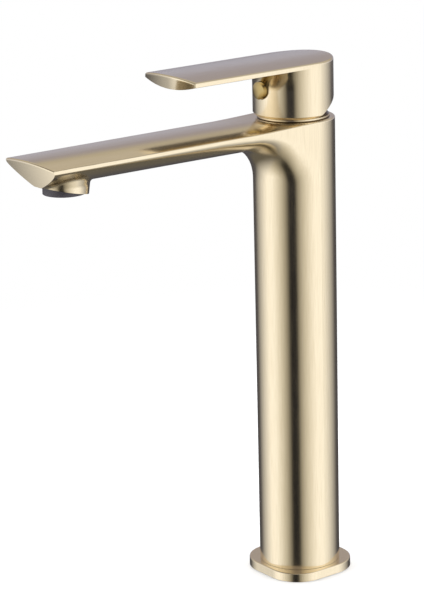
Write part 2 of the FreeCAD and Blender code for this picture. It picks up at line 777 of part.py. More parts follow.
def make_lever():
    body = new_body("lever_handle")
    hub = new_sketch(body, "hub_outline", "XY_Plane", "hub_level")
    draw_circle(hub, "hub_radius")
    hub.AttachmentOffset.Rotation = FreeCAD.Rotation(point(0, 0, 1), 90)
    doc.recompute()
    pad(body, "hub", hub, "lever_level + lever_edge - hub_level")
    blade = new_sketch(body, "blade_section", "XZ_Plane")
    left = ("-hub_radius", "blade_low")
    right = ("hub_radius", "blade_low")
    over = "lever_level + lever_edge"
    draw_path(blade, [left, ("-hub_radius", over), ("hub_radius", over), right])
    draw_arc(blade, left, right, ("0", "blade_low - lever_belly"), "belly_curve")
    pad(body, "blade", blade, "lever_reach + lever_bow + lever_edge")
    crown = new_sketch(body, "crown_outline", "XZ_Plane")
    fall = "lever_level - crown_curve + sqrt(crown_curve ^ 2 - tool_half ^ 2)"
    above = "lever_level + 2 * lever_edge"
    left = ("-tool_half", fall)
    right = ("tool_half", fall)
    draw_path(crown, [left, ("-tool_half", above), ("tool_half", above), right])
    draw_arc(crown, right, left, ("0", "lever_level"), "crown_curve")
    pocket(body, "crown_cut", crown, "4 * lever_reach", both=True)
    tip = new_sketch(body, "tip_outline", "XY_Plane", "hub_level")
    ends = "-lever_reach + bow_curve - sqrt(bow_curve ^ 2 - tool_half ^ 2)"
    left = ("-tool_half", ends)
    right = ("tool_half", ends)
    draw_path(tip, [left, ("-tool_half", "-2 * lever_reach"), ("tool_half", "-2 * lever_reach"), right])
    draw_arc(tip, left, right, ("0", "-lever_reach"), "bow_curve")
    pocket(body, "tip_cut", tip, "2 * hub_height", reverse=True)
    groove = new_sketch(body, "hub_chamfer_outline", "XZ_Plane")
    clear = "hub_radius + hub_chamfer"
    draw_outline(groove, [("hub_radius - hub_chamfer", "hub_level"), (clear, "hub_level"),
                          (clear, "hub_level + 2 * hub_chamfer_rise")])
    bevel = body.newObject("PartDesign::Groove", "hub_bevel")
    bevel.Profile = groove
    bevel.ReferenceAxis = (groove, ["V_Axis"])
    bevel.Angle = 360
    doc.recompute()
    rear = new_sketch(body, "rear_cut_outline", "YZ_Plane")
    draw_outline(rear, [("0", "hub_level"), ("2 * hub_radius", "hub_level"),
                        ("2 * hub_radius", "hub_level + 2 * hub_radius * tan(hub_cut_slope)")])
    pocket(body, "rear_cut", rear, "4 * hub_radius", both=True)
    mouth = new_sketch(body, "hub_mouth_outline", "XY_Plane", "hub_level")
    draw_circle(mouth, "hub_bore")
    pocket(body, "hub_mouth", mouth, "boss_level - hub_level", reverse=True)
    core = new_sketch(body, "hub_core_outline", "XY_Plane", "boss_level")
    draw_circle(core, "hub_bore")
    draw_circle(core, "boss_radius")
    pocket(body, "hub_core", core, "lever_level - lever_roof - boss_level", reverse=True)
    web = new_sketch(body, "web_outline", "XY_Plane", "boss_level")
    draw_box(web, "web_half", "-(hub_bore + hub_radius) / 2", "-boss_radius / 2")
    pad(body, "screw_web", web, "lever_level - lever_roof - boss_level")
    socket = new_sketch(body, "socket_outline", "XY_Plane", "boss_level")
    side = "stem_square / 2 + running_gap"
    draw_box(socket, side, "-(" + side + ")", side)
    pocket(body, "stem_socket", socket, "socket_depth", reverse=True)
    seat = new_sketch(body, "button_outline", "XZ_Plane", "hub_radius + button_dome")
    draw_circle(seat, "button_radius", "0", "button_level")
    pocket(body, "button_seat", seat, "button_depth + button_dome")
    tapped = new_sketch(body, "grub_outline", "XZ_Plane", "hub_radius")
    draw_circle(tapped, "grub_radius + running_gap", "0", "button_level")
    pocket(body, "grub_hole", tapped, "hub_radius")
    sharp = body.Tip
    top = max(sharp.Shape.Faces, key=lambda face: face.CenterOfMass.z)
    soft = body.newObject("PartDesign::Fillet", "lever_rim")
    soft.Base = (sharp, edge_names(sharp.Shape, lambda item: any(item.isSame(rim) for rim in top.Edges)))
    bind(soft, "Radius", "lever_fillet")
    doc.recompute()
    return body


def make_button_and_screw():
    button = new_body("index_button")
    cap = new_sketch(button, "cap_profile", "XZ_Plane")
    rim = "button_depth + button_proud"
    peak = rim + " + button_dome"
    draw_path(cap, [("0", peak), ("0", "0"), ("cap_radius", "0"), ("cap_radius", rim)])
    half_turn = "asin(cap_radius / dome_curve) / 2"
    crest = ("dome_curve * sin(" + half_turn + ")", peak + " - dome_curve * (1 - cos(" + half_turn + "))")
    draw_arc(cap, ("cap_radius", rim), ("0", peak), crest, "dome_curve")
    turn = button.newObject("PartDesign::Revolution", "cap_turn")
    turn.Profile = cap
    turn.ReferenceAxis = (cap, ["V_Axis"])
    turn.Angle = 360
    doc.recompute()
    screw = solid_disc("set_screw", "grub_radius", "0", "grub_length")
    key = new_sketch(screw, "key_outline", "XY_Plane", "grub_length")
    half = "grub_key / 2"
    corner = "grub_key / sqrt(3)"
    draw_outline(key, [(corner, "0"), (corner + " / 2", half), ("-(" + corner + ") / 2", half),
                       ("-(" + corner + ")", "0"), ("-(" + corner + ") / 2", "-(" + half + ")"),
                       (corner + " / 2", "-(" + half + ")")])
    pocket(screw, "key_socket", key, "grub_key_deep")
    for body, depth in ((button, "hub_radius - button_depth"), (screw, "stem_square / 2")):
        body.Placement.Rotation = FreeCAD.Rotation(point(1, 0, 0), 90)
        bind(body, "Placement.Base.y", "-(" + depth + ")")
        bind(body, "Placement.Base.z", "button_level")
    return [button, screw]


def check_and_write(pieces):
    """Stop on any failed object or bad solid, then write one file for each piece."""
    doc.recompute()
    for item in doc.Objects:
        if "Invalid" in item.State or "Error" in item.State:
            raise ValueError(item.Label + " failed: " + ", ".join(item.State))
    os.makedirs("parts", exist_ok=True)
    for piece in pieces:
        shape = piece.Shape
        if shape.isNull() or not shape.isValid() or not shape.Solids:
            raise ValueError(piece.Label + " has no valid solid")
        shape.exportStep(os.path.join("parts", piece.Label + ".step"))
        print("%-18s solids %d  volume %10.1f" % (piece.Label, len(shape.Solids), shape.Volume))


def main():
    pieces = [make_body_casting(), make_base_plate()]
    pieces.extend(make_column())
    pieces.append(ring("base_gasket", "gasket_inner", "gasket_outer", "0", "gasket_thick"))
    pieces.append(make_foot_insert())
    pieces.extend(make_aerator())
    pieces.extend(make_cartridge_fixed())
    pieces.extend(make_nut_and_collar())
    pieces.extend(make_swivel())
    pieces.extend(make_sliding_disc())
    pieces.append(make_stem())
    pieces.append(make_lever())
    pieces.extend(make_button_and_screw())
    check_and_write(pieces)


main()
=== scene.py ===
"""Finishes and studio stage for the tall basin mixer."""
import math

import bmesh
import bpy
from bpy.props import FloatProperty, FloatVectorProperty, PointerProperty
from mathutils import Matrix, Vector


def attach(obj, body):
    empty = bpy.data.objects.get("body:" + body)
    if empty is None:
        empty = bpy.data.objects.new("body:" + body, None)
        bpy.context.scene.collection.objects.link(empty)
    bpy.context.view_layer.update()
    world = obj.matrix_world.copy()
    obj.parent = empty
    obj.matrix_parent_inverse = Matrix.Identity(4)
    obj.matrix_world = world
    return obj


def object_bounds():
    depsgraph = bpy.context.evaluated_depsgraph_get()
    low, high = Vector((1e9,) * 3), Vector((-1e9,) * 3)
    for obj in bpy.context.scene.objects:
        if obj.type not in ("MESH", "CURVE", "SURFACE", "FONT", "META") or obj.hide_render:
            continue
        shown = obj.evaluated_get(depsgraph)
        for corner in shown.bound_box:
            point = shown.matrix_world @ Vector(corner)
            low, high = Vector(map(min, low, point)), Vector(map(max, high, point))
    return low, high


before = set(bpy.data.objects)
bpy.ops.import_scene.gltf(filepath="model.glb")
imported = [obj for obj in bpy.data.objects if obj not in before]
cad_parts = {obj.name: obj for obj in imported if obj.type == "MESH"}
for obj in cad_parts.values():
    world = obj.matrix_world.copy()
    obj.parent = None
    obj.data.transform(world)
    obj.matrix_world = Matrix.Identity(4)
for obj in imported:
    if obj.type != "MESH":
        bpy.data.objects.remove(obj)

bl_info = {
    "name": "Basin mixer finishes",
    "version": (1, 0, 0),
    "blender": (4, 5, 0),
    "location": "3D View > Sidebar > Mixer",
    "description": "Dresses the tall basin mixer in satin gold and sets up its studio stage",
    "category": "Material",
}

CAD_BOX = [list(corner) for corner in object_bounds()]

GOLD_NODES = ("body_casting", "column_tube", "base_plate", "lever_handle")
BRASS_NODES = ("inlet_block", "foot_insert", "retaining_nut")
RUBBER_NODES = ("base_gasket", "aerator_washer", "port_seals")
AERATOR_NODES = ("aerator_housing", "aerator_insert")
CARTRIDGE_NODES = ("cartridge_base", "cartridge_shell", "swivel_rotor", "disc_carrier")
CERAMIC_NODES = ("fixed_disc", "moving_disc")
STEEL_NODES = ("pivot_pin", "lever_stem", "set_screw", "aerator_screen")

# Neck sweep: rows along the sweep, steps over the belly and up each side.
SWEEP_ROWS = 40
BELLY_STEPS = 20
SIDE_STEPS = 4
MERGE_DISTANCE = 1e-7
SHARP_ANGLE = math.radians(40.0)

# Noise values between which a pattern goes from none to full.
LINE_SPAN = (0.3, 0.7)
CLOUD_SPAN = (0.35, 0.65)

# Change of a finish's roughness from none of a pattern to all of it.
LINE_ROUGHNESS = (0.04, -0.03)
SMUDGE_ROUGHNESS = (-0.015, 0.02)
RING_ROUGHNESS = (-0.06, 0.08)
PEBBLE_ROUGHNESS = (-0.08, 0.1)

# Share of its colour that a finish keeps where it is worn, tarnished or clouded.
WORN_SHARE = 0.86
TARNISHED_SHARE = 0.82
CLOUDED_SHARE = 0.78

# Brush lines run lengthwise on level faces, and on all faces out on the spout and lever.
LEVEL_FACING = (0.5, 0.8)
LENGTHWISE_START = (-0.03, -0.05)

# Drawn forms: each pair says where a form's share starts and where it is full. Places are in
# metres in the part's own frame, and facing and steep limits are parts of the unit normal.
FACET_FACING = (-0.75, -0.85)
FACET_START = (-0.06, -0.07)
FLANK_START = (-0.035, -0.065)
FLANK_RIM = (0.2571, 0.2563)
FLANK_FOOT = (0.2445, 0.2465)
FLANK_STEEP = (0.95, 0.6)
TOP_FACING = (0.8, 0.93)
TOP_START = (0.0, -0.03)
TOP_FOOT = (0.2555, 0.2565)
TOP_HEAD = (0.263, 0.262)
ROLL_SIDE = (-0.004, 0.022)
SPOUT_START = (-0.1, -0.12)
NEAR_SIDE = (-0.003, 0.003)
BLADE_LEVEL = (0.286, 0.287)
COVE_RISE = (0.2765, 0.2835)
COVE_HEAD = (0.2884, 0.2881)
COVE_FRONT = (-0.011, -0.017)
COVE_REACH = (-0.0235, -0.0222)
COVE_STEEP = (0.6, 0.3)
BUTTON_FACING = (-0.85, -0.9)

# Light tent: angles in degrees, turned from the camera (to its right is positive) or lifted from
# level. A tuple gives the limits of a change, and its values at both ends if not 0 and 1.
BOX_SLANT = (-20.0, -58.0, 0.0, 6.0)
BOX_HEAD = (46.0, 60.0, 1.0, 0.0)
LEFT_START = (-142.0, -86.0)
LEFT_END = (-68.0, -19.0, 1.0, 0.0)
LEFT_FOOT = (-82.0, -32.0)
LEFT_HEAD = (20.0, 34.0, 1.0, 0.0)
LEFT_FALL = 0.75
RIGHT_START = (1.0, 54.0)
RIGHT_END = (76.0, 136.0, 1.0, 0.0)
RIGHT_FOOT = (-90.0, -38.0)
RIGHT_RISE = 0.6
WALL_FOOT = (0.08, 0.078, 0.088)
WALL_TONES = (
    ((-11.0, 2.0), "SMOOTHSTEP", (0.46, 0.46, 0.56)),
    ((7.0, 13.0), "SMOOTHSTEP", (0.36, 0.335, 0.38)),
    ((19.0, 29.0), "LINEAR", (0.5, 0.455, 0.35)),
    ((28.0, 36.0), "LINEAR", (0.55, 0.51, 0.45)),
)
GROUND_END = (-40.0, -26.0)
GROUND_TONE = (0.13, 0.12, 0.1)
GAP_SIDE = (30.0, 70.0, 0.2, 1.0)
GAP_FOOT = (-58.0, -74.0, 0.2, 1.0)
GAP_HEAD = (4.0, 18.0, 0.2, 0.6)
SHADE_HEIGHT = (22.0, 32.0)
SHADE_FRONT = (15.0, 35.0, 0.9, 0.42)
SHADE_BACK = (112.0, 138.0, 0.42, 1.0)
WARM_SIDE = (70.0, 90.0, 1.0, 0.0)
WARM_EDGE = (0.1, 1.0, 1.0, 0.0)
LAMP_WHITE = (1.13, 1.125, 1.115)
LAMP_WARM = (1.13, 1.05, 0.84)

# Soft lamps: turn from the camera in degrees, distance, height and share of the lamp power.
LAMPS = {
    "lamp_left": (-75.0, 1.3, 0.9, 1.0),
    "lamp_right": (65.0, 1.3, 0.9, 0.8),
    "lamp_top": (180.0, 0.35, 1.6, 1.2),
}
LAMP_SIZE = 1.2
FLOOR_DROP = 0.0002
FLOOR_FAINT = 0.985
FLOOR_FADE_SHARE = 0.35
FLOOR_EDGES = 96
FILL_TONE = (0.5, 0.5, 0.52)
BACKDROP_TONE = (1.0, 1.0, 1.0)


class MixerGold(bpy.types.PropertyGroup):
    """Satin gold of the visible metal."""

    colour: FloatVectorProperty(
        name="Gold", description="Colour of the plated metal", subtype="COLOR",
        size=3, min=0.0, max=1.0, default=(0.93, 0.82, 0.62))
    shade: FloatVectorProperty(
        name="Brush line", description="Colour down in the brush lines", subtype="COLOR",
        size=3, min=0.0, max=1.0, default=(0.86, 0.745, 0.545))
    # Painted shade: the button's gold is darkened to stand in for the dark reflection on its face.
    button: FloatVectorProperty(
        name="Button", description="Deeper brass of the button in the hub", subtype="COLOR",
        size=3, min=0.0, max=1.0, default=(0.54, 0.41, 0.18))
    # Painted shade: colour of the dark bands that stand for the shadow in the gaps above and below
    # the collar's bead.
    gap_shade_colour: FloatVectorProperty(
        name="Groove", description="Dark joint lines around the collar", subtype="COLOR",
        size=3, min=0.0, max=1.0, default=(0.11, 0.07, 0.028))
    roughness: FloatProperty(
        name="Roughness", description="Softness of the satin reflections", subtype="FACTOR",
        min=0.0, max=1.0, default=0.17)
    line_width: FloatProperty(
        name="Line width", description="Width of one brush line", unit="LENGTH", default=0.00035)
    line_run: FloatProperty(
        name="Line run", description="Length of one brush line", unit="LENGTH", default=0.014)
    line_depth: FloatProperty(
        name="Line depth", description="Depth of one brush line", unit="LENGTH", precision=6,
        default=0.000003)


class MixerInner(bpy.types.PropertyGroup):
    """Colours of the inner pieces and seals."""

    brass: FloatVectorProperty(
        name="Brass", description="Machined brass", subtype="COLOR",
        size=3, min=0.0, max=1.0, default=(0.74, 0.57, 0.28))
    rubber: FloatVectorProperty(
        name="Rubber", description="Seal rubber", subtype="COLOR",
        size=3, min=0.0, max=1.0, default=(0.018, 0.018, 0.02))
    aerator: FloatVectorProperty(
        name="Aerator", description="Dark plastic of the aerator", subtype="COLOR",
        size=3, min=0.0, max=1.0, default=(0.078, 0.07, 0.084))
    cartridge: FloatVectorProperty(
        name="Cartridge", description="Light plastic of the cartridge", subtype="COLOR",
        size=3, min=0.0, max=1.0, default=(0.62, 0.62, 0.6))
    ceramic: FloatVectorProperty(
        name="Ceramic", description="Lapped alumina of the discs", subtype="COLOR",
        size=3, min=0.0, max=1.0, default=(0.83, 0.82, 0.78))
    steel: FloatVectorProperty(
        name="Steel", description="Stainless steel of the pin, stem and screw", subtype="COLOR",
        size=3, min=0.0, max=1.0, default=(0.6, 0.6, 0.61))


class MixerNeck(bpy.types.PropertyGroup):
    """Full sweep under the spout, fitted over the casting."""

    half: FloatProperty(
        name="Half width", description="Half width of column and spout root",
        unit="LENGTH", default=0.0225)
    belly: FloatProperty(
        name="Belly", description="Depth of the spout's belly at its root",
        unit="LENGTH", default=0.01062)
    edge_level: FloatProperty(
        name="Edge level", description="Height at which the belly starts",
        unit="LENGTH", default=0.2563)
    sweep: FloatProperty(
        name="Sweep", description="Radius of the sweep between column and spout",
        unit="LENGTH", default=0.02)
    flank: FloatProperty(
        name="Flank", description="Fullness of the belly's flank at the spout", default=0.576)
    side: FloatProperty(
        name="Side", description="Reach of the level side above the sweep",
        unit="LENGTH", default=0.0032)
    cover: FloatProperty(
        name="Cover", description="Height of the sweep's skin above the casting", unit="LENGTH",
        precision=6, default=0.00002)
    sink: FloatProperty(
        name="Sink", description="Depth to which the skin's ends sink in", unit="LENGTH",
        precision=6, default=0.00006)
    lead: FloatProperty(
        name="Lead", description="Run over which the skin's ends sink in",
        unit="LENGTH", default=0.004)
    skin: FloatProperty(
        name="Skin", description="Thickness of the sweep's skin", unit="LENGTH", default=0.0008)


class MixerStage(bpy.types.PropertyGroup):
    """Camera, floor, lamps and light tent."""

    camera_place: FloatVectorProperty(
        name="Camera", description="Place of the camera", subtype="TRANSLATION", unit="LENGTH",
        size=3, default=(0.9997, -0.8134, 0.52134))
    camera_turn: FloatVectorProperty(
        name="Camera turn", description="Azimuth, elevation and roll of the camera",
        subtype="EULER", unit="ROTATION", size=3,
        default=(math.radians(52.932), math.radians(15.92), math.radians(-1.413)))
    lens: FloatProperty(
        name="Lens", description="Focal length in millimetres", default=143.14)
    floor_reach: FloatProperty(
        name="Floor", description="Radius at which the floor has faded out",
        unit="LENGTH", default=0.6)
    floor_colour: FloatVectorProperty(
        name="Floor colour", description="Pale floor", subtype="COLOR",
        size=3, min=0.0, max=1.0, default=(0.9, 0.9, 0.9))
    tent_reach: FloatProperty(
        name="Tent", description="Radius of the light tent", unit="LENGTH", default=4.0)
    lamp_power: FloatProperty(
        name="Lamp power", description="Power of each soft lamp", unit="POWER", default=14.0)


def put(tree, kind, inputs=None, **settings):
    """Add a node, set it up, and feed each input with a value or another node's socket."""
    node = tree.nodes.new(kind)
    for name, setting in settings.items():
        setattr(node, name, setting)
    for key, given in (inputs or {}).items():
        if isinstance(given, bpy.types.NodeSocket):
            tree.links.new(given, node.inputs[key])
        else:
            node.inputs[key].default_value = given
    return node


def calc(tree, operation, *terms):
    """Output of a math node."""
    return put(tree, "ShaderNodeMath", dict(enumerate(terms)), operation=operation).outputs[0]


def remap(tree, given, low, high, start=0.0, end=1.0, curve="LINEAR"):
    """Clamped change from start at low to end at high."""
    node = put(tree, "ShaderNodeMapRange",
               {"Value": given, "From Min": low, "From Max": high, "To Min": start, "To Max": end},
               interpolation_type=curve, clamp=True)
    return node.outputs["Result"]


def mix_colour(tree, share, first, second):
    """Colour that goes from first to second with share."""
    node = put(tree, "ShaderNodeMix", {0: share, 6: first, 7: second}, data_type="RGBA")
    return node.outputs[2]


def mix_number(tree, share, first, second):
    """Number that goes from first to second with share."""
    node = put(tree, "ShaderNodeMix", {0: share, 2: first, 3: second}, data_type="FLOAT")
    return node.outputs[0]


def product(tree, *terms):
    """Product of all terms."""
    total = terms[0]
    for term in terms[1:]:
        total = calc(tree, "MULTIPLY", total, term)
    return total


def opaque(colour):
    """Colour with its alpha."""
    return (*colour, 1.0)


def dulled(colour, share):
    """Colour darkened to a share of itself."""
    return [share * part for part in colour]


def new_group(name, inputs, outputs, kind="NodeSocketFloat"):
    """Empty shader group with named float inputs, and outputs of one kind."""
    group = bpy.data.node_groups.new(name, "ShaderNodeTree")
    for label, default in inputs.items():
        socket = group.interface.new_socket(label, in_out="INPUT", socket_type="NodeSocketFloat")
        socket.default_value = default
    for label in outputs:
        group.interface.new_socket(label, in_out="OUTPUT", socket_type=kind)
    return group, group.nodes.new("NodeGroupInput"), group.nodes.new("NodeGroupOutput")


def brushed_grain():
    """Brush lines: upright on column and hub, lengthwise on spout, lever and level faces."""
    name = "Brushed grain"
    if name in bpy.data.node_groups:
        return bpy.data.node_groups[name]
    group, given, out = new_group(
        name, {"Line width": 0.0004, "Line run": 0.015}, ("Lines", "Smudge"))
    spot = group.nodes.new("ShaderNodeTexCoord")
    across = calc(group, "DIVIDE", 1.0, given.outputs["Line width"])
    along = calc(group, "DIVIDE", 1.0, given.outputs["Line run"])
    tall = put(group, "ShaderNodeCombineXYZ", {0: across, 1: across, 2: along})
    level = put(group, "ShaderNodeCombineXYZ", {0: across, 1: along, 2: across})
    lines = []
    for scale in (tall, level):
        place = put(group, "ShaderNodeVectorMath", {0: spot.outputs["Object"], 1: scale.outputs[0]},
                    operation="MULTIPLY")
        noise = put(group, "ShaderNodeTexNoise",
                    {"Vector": place.outputs[0], "Scale": 1.0, "Detail": 3.0, "Roughness": 0.6})
        lines.append(noise.outputs[0])
    facing = put(group, "ShaderNodeSeparateXYZ", {0: spot.outputs["Normal"]})
    standing = put(group, "ShaderNodeSeparateXYZ", {0: spot.outputs["Object"]})
    up = remap(group, calc(group, "ABSOLUTE", facing.outputs[2]), *LEVEL_FACING)
    out_on_spout = remap(group, standing.outputs[1], *LENGTHWISE_START)
    lengthwise = calc(group, "MAXIMUM", up, out_on_spout)
    blended = mix_number(group, lengthwise, lines[0], lines[1])
    smudge = put(group, "ShaderNodeTexNoise",
                 {"Vector": spot.outputs["Object"], "Scale": 26.0, "Detail": 3.0, "Roughness": 0.5})
    group.links.new(blended, out.inputs["Lines"])
    group.links.new(smudge.outputs[0], out.inputs["Smudge"])
    return group


def moulded_skin():
    """Fine pebbled skin of moulded plastic, rubber and fired ceramic."""
    name = "Moulded skin"
    if name in bpy.data.node_groups:
        return bpy.data.node_groups[name]
    group, given, out = new_group(name, {"Grain": 0.0004, "Cloud": 0.006}, ("Pebble", "Cloud"))
    spot = group.nodes.new("ShaderNodeTexCoord")
    for size, label, detail in (("Grain", "Pebble", 2.0), ("Cloud", "Cloud", 4.0)):
        scale = calc(group, "DIVIDE", 1.0, given.outputs[size])
        noise = put(group, "ShaderNodeTexNoise",
                    {"Vector": spot.outputs["Object"], "Scale": scale, "Detail": detail})
        group.links.new(noise.outputs[0], out.inputs[label])
    return group


def turning_marks():
    """Fine rings that a lathe leaves around the column axis."""
    name = "Turning marks"
    if name in bpy.data.node_groups:
        return bpy.data.node_groups[name]
    group, given, out = new_group(name, {"Pitch": 0.0003}, ("Rings", "Tarnish"))
    spot = group.nodes.new("ShaderNodeTexCoord")
    parts = put(group, "ShaderNodeSeparateXYZ", {0: spot.outputs["Object"]})
    square = [calc(group, "MULTIPLY", parts.outputs[k], parts.outputs[k]) for k in (0, 1)]
    radius = calc(group, "SQRT", calc(group, "ADD", *square))
    pitch = calc(group, "DIVIDE", 1.0, given.outputs["Pitch"])
    place = put(group, "ShaderNodeCombineXYZ",
                {0: calc(group, "MULTIPLY", radius, pitch),
                 2: calc(group, "MULTIPLY", parts.outputs[2], pitch)})
    rings = put(group, "ShaderNodeTexNoise",
                {"Vector": place.outputs[0], "Scale": 1.0, "Detail": 2.0})
    tarnish = put(group, "ShaderNodeTexNoise",
                  {"Vector": spot.outputs["Object"], "Scale": 90.0, "Detail": 4.0})
    group.links.new(rings.outputs[0], out.inputs["Rings"])
    group.links.new(tarnish.outputs[0], out.inputs["Tarnish"])
    return group


def facing_group(name, inputs, lean):
    """Shader group that leans the surface normal by lean(group, given, place, facing)."""
    if name in bpy.data.node_groups:
        return bpy.data.node_groups[name]
    group, given, out = new_group(name, inputs, ("Normal",), "NodeSocketVector")
    spot = group.nodes.new("ShaderNodeTexCoord")
    place = put(group, "ShaderNodeSeparateXYZ", {0: spot.outputs["Object"]}).outputs
    facing = put(group, "ShaderNodeSeparateXYZ", {0: spot.outputs["Normal"]}).outputs
    offset = put(group, "ShaderNodeCombineXYZ",
                 dict(enumerate(lean(group, given.outputs, place, facing))))
    leaned = put(group, "ShaderNodeVectorMath",
                 {0: spot.outputs["Normal"], 1: offset.outputs[0]}, operation="ADD")
    world = put(group, "ShaderNodeVectorTransform", {0: leaned.outputs[0]}, vector_type="NORMAL",
                convert_from="OBJECT", convert_to="WORLD")
    unit = put(group, "ShaderNodeVectorMath", {0: world.outputs[0]}, operation="NORMALIZE")
    group.links.new(unit.outputs[0], out.inputs["Normal"])
    return group


def drawn_form():
    """Soft forms of casting and lever: flanks, rolled top, tip facets, blade and hub cove."""
    def lean(group, given, place, facing):
        def share(part, limits):
            return remap(group, part, *limits)

        level = calc(group, "ABSOLUTE", facing[2])
        facet = product(group, share(facing[1], FACET_FACING), share(place[1], FACET_START))
        plain = calc(group, "SUBTRACT", 1.0, facet)
        flank = product(group, share(place[1], FLANK_START), share(place[2], FLANK_RIM),
                        share(place[2], FLANK_FOOT), share(level, FLANK_STEEP), plain)
        top = product(group, share(facing[2], TOP_FACING), share(place[2], TOP_FOOT),
                      share(place[2], TOP_HEAD), share(place[1], TOP_START))
        roll = product(group, top, share(place[0], ROLL_SIDE), given["Top roll"])
        blade = product(group, share(facing[2], TOP_FACING), share(place[2], BLADE_LEVEL))
        tilt = product(group, blade, given["Blade tilt"])
        on_spout = share(place[1], SPOUT_START)
        bend = mix_number(group, share(place[0], NEAR_SIDE),
                          given["Far crown"], given["Lever crown"])
        bend = mix_number(group, on_spout, bend, given["Spout crown"])
        crown = product(group, facet, place[0], bend)
        slope = mix_number(group, on_spout, given["Lever lean"], given["Spout lean"])
        tip = product(group, facet, slope)
        cove = product(group, share(place[2], COVE_RISE), share(place[1], COVE_FRONT),
                       share(place[1], COVE_REACH), share(level, COVE_STEEP), plain,
                       share(place[2], COVE_HEAD), given["Hub cove"])
        side = calc(group, "ADD", calc(group, "ADD", roll, tilt), crown)
        rise = calc(group, "SUBTRACT", tip, product(group, flank, given["Flank lean"]))
        return side, 0.0, calc(group, "SUBTRACT", rise, cove)

    amounts = {"Flank lean": 0.3, "Top roll": 0.26, "Spout crown": 6.0, "Lever crown": 24.0,
               "Far crown": 5.0, "Blade tilt": -0.055, "Hub cove": 0.6, "Spout lean": 0.14,
               "Lever lean": -0.36}
    return facing_group("Drawn form", amounts, lean)


def domed_form():
    """Even dome over the face of the button, around the button's own axis."""
    def lean(group, given, place, facing):
        face = remap(group, facing[1], *BUTTON_FACING)
        away = calc(group, "SUBTRACT", place[2], given["Axis level"])
        across = calc(group, "DIVIDE", place[0], given["Dome radius"])
        along = calc(group, "DIVIDE", away, given["Dome radius"])
        return [product(group, face, calc(group, "SUBTRACT", wanted, had))
                for wanted, had in zip((across, -1.0, along), facing)]

    return facing_group("Domed form", {"Axis level": 0.276, "Dome radius": 0.0127}, lean)


def painted_gap_shade():
    """Mask of painted shade around the collar: the shadow in the gaps above and below its bead."""
    name = "Ring grooves"
    if name in bpy.data.node_groups:
        return bpy.data.node_groups[name]
    group, given, out = new_group(
        name, {"Bead top": 0.2604, "Bead foot": 0.2598, "Soft edge": 0.0001}, ("Groove",))
    spot = group.nodes.new("ShaderNodeTexCoord")
    level = put(group, "ShaderNodeSeparateXYZ", {0: spot.outputs["Object"]}).outputs[2]
    # Painted shade: full above the bead top and below the bead foot, where the gaps under the hub
    # and over the casting lie in shadow.
    over = calc(group, "SUBTRACT", level, given.outputs["Bead top"])
    under = calc(group, "SUBTRACT", given.outputs["Bead foot"], level)
    past = calc(group, "DIVIDE", calc(group, "MAXIMUM", over, under), given.outputs["Soft edge"])
    group.links.new(remap(group, past, 0.0, 1.0), out.inputs["Groove"])
    return group


def new_material(name):
    """Material with a principled shader on its output, and nothing else."""
    material = bpy.data.materials.new(name)
    material.use_nodes = True
    tree = material.node_tree
    tree.nodes.clear()
    shader = tree.nodes.new("ShaderNodeBsdfPrincipled")
    out = tree.nodes.new("ShaderNodeOutputMaterial")
    tree.links.new(shader.outputs[0], out.inputs["Surface"])
    return material, tree, shader


def send(tree, shader):
    """Send a shader to the material's output."""
    out = next(node for node in tree.nodes if node.type == "OUTPUT_MATERIAL")
    tree.links.new(shader.outputs[0], out.inputs["Surface"])


def dress(names, material):
    """Give CAD nodes one material."""
    for name in names:
        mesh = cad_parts[name].data
        mesh.materials.clear()
        mesh.materials.append(material)


def satin_metal(name, settings, colour, shade, form):
    """Brushed gold: lines in its colour, roughness and bump, over the normals of a form."""
    material, tree, shader = new_material(name)
    grain = put(tree, "ShaderNodeGroup",
                {"Line width": settings.line_width, "Line run": settings.line_run},
                node_tree=brushed_grain())
    lines = remap(tree, grain.outputs["Lines"], *LINE_SPAN)
    tone = mix_colour(tree, lines, opaque(shade), opaque(colour))
    tree.links.new(tone, shader.inputs["Base Color"])
    by_lines = remap(tree, lines, 0.0, 1.0,
                     *(settings.roughness + change for change in LINE_ROUGHNESS))
    by_smudge = remap(tree, grain.outputs["Smudge"], *LINE_SPAN, *SMUDGE_ROUGHNESS)
    tree.links.new(calc(tree, "ADD", by_lines, by_smudge), shader.inputs["Roughness"])
    shader.inputs["Metallic"].default_value = 1.0
    drawn = put(tree, "ShaderNodeGroup", node_tree=form)
    bump = put(tree, "ShaderNodeBump",
               {"Height": lines, "Distance": settings.line_depth, "Strength": 0.6,
                "Normal": drawn.outputs["Normal"]})
    tree.links.new(bump.outputs[0], shader.inputs["Normal"])
    return material


def ring_metal(gold):
    """Brushed gold of the collar, with painted shade in the gaps above and below its bead."""
    material = satin_metal("ring_gold_gap_shade", gold, gold.colour, gold.shade, drawn_form())
    tree = material.node_tree
    shader = next(node for node in tree.nodes if node.type == "BSDF_PRINCIPLED")
    base = shader.inputs["Base Color"]
    brushed = base.links[0].from_socket
    # Painted shade: dark bands above and below the bead stand for the shadow in the collar's gaps.
    gap_shade_node = put(tree, "ShaderNodeGroup", node_tree=painted_gap_shade())
    tone = mix_colour(tree, gap_shade_node.outputs["Groove"], brushed, opaque(gold.gap_shade_colour))
    tree.links.new(tone, base)
    return material


def turned_metal(name, colour, roughness, pitch):
    """Lathe-turned metal with fine rings and some tarnish."""
    material, tree, shader = new_material(name)
    marks = put(tree, "ShaderNodeGroup", {"Pitch": pitch}, node_tree=turning_marks())
    clean = remap(tree, marks.outputs["Tarnish"], *CLOUD_SPAN)
    tone = mix_colour(tree, clean, opaque(dulled(colour, TARNISHED_SHARE)), opaque(colour))
    tree.links.new(tone, shader.inputs["Base Color"])
    rings = marks.outputs["Rings"]
    soft = remap(tree, rings, *LINE_SPAN, *(roughness + change for change in RING_ROUGHNESS))
    tree.links.new(soft, shader.inputs["Roughness"])
    shader.inputs["Metallic"].default_value = 1.0
    bump = put(tree, "ShaderNodeBump", {"Height": rings, "Distance": 0.00002, "Strength": 0.4})
    tree.links.new(bump.outputs[0], shader.inputs["Normal"])
    return material


